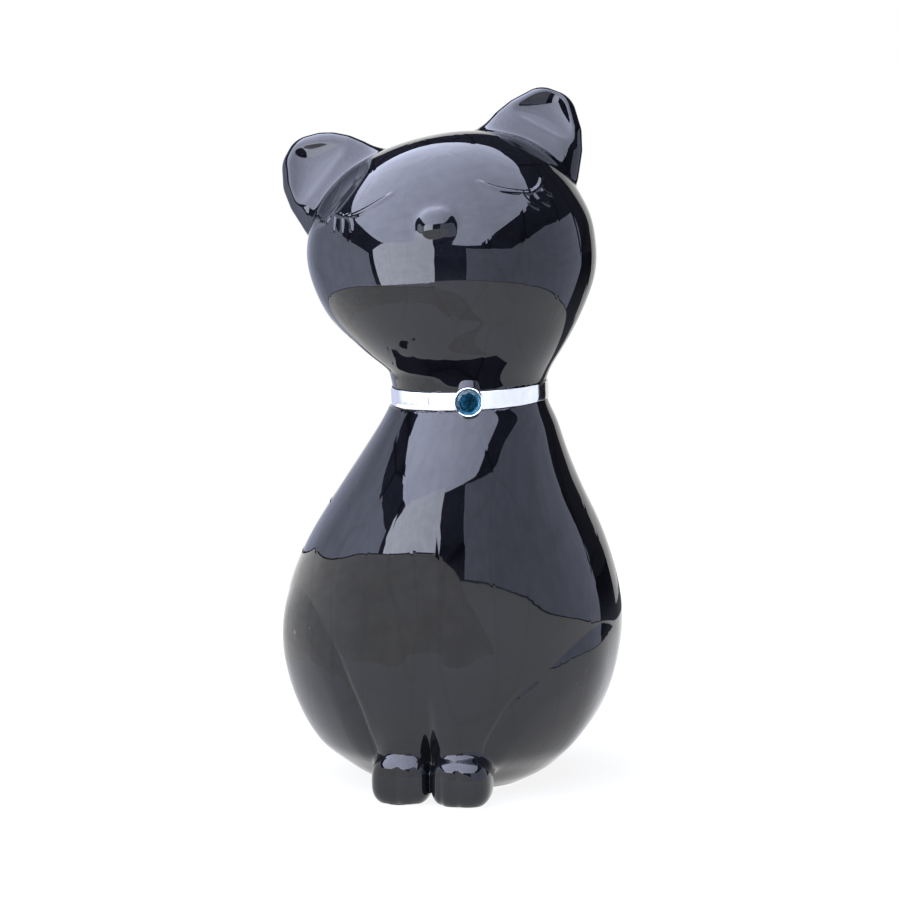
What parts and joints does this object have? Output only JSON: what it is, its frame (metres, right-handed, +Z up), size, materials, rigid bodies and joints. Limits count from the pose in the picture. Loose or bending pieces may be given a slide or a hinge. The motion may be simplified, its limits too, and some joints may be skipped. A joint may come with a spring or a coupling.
{
  "type": "cat figurine",
  "caption": "Glossy dark ceramic figurine of a seated cat with closed eyes, a silver collar with a blue stone, and a push-in bung in its hollow base.",
  "frame": {"origin": "on the table, in the middle of the base", "axes": "+Z up; the cat's chest faces -Y; +X is the cat's left, on the right of a viewer in front"},
  "size_m": [0.125, 0.1304, 0.2564],
  "materials": {
    "glaze": "mirror-gloss midnight blue-black lustre glaze",
    "cement": "matt set cement, hidden by the collar",
    "silver": "polished silver plate with fine hairline scratches",
    "crystal": "faceted, polished, teal blue",
    "foil": "silvered backing",
    "rubber": "matt moulded rubber",
    "felt": "matt pressed felt"
  },
  "bodies": {
    "figurine": {"body_shell": "glaze", "head_shell": "glaze", "neck_cement": "cement", "collar_band": "silver", "bezel_cup": "silver", "stone": "crystal", "stone_foil": "foil", "base_felt": "felt", "paw_felts": "felt"},
    "bung": {"base_bung": "rubber"}
  },
  "joints": [
    {"name": "bung_pull", "type": "slide", "parent": "figurine", "child": "bung", "axis": [0, 0, -1], "range_m": [0, 0.03]}
  ]
}
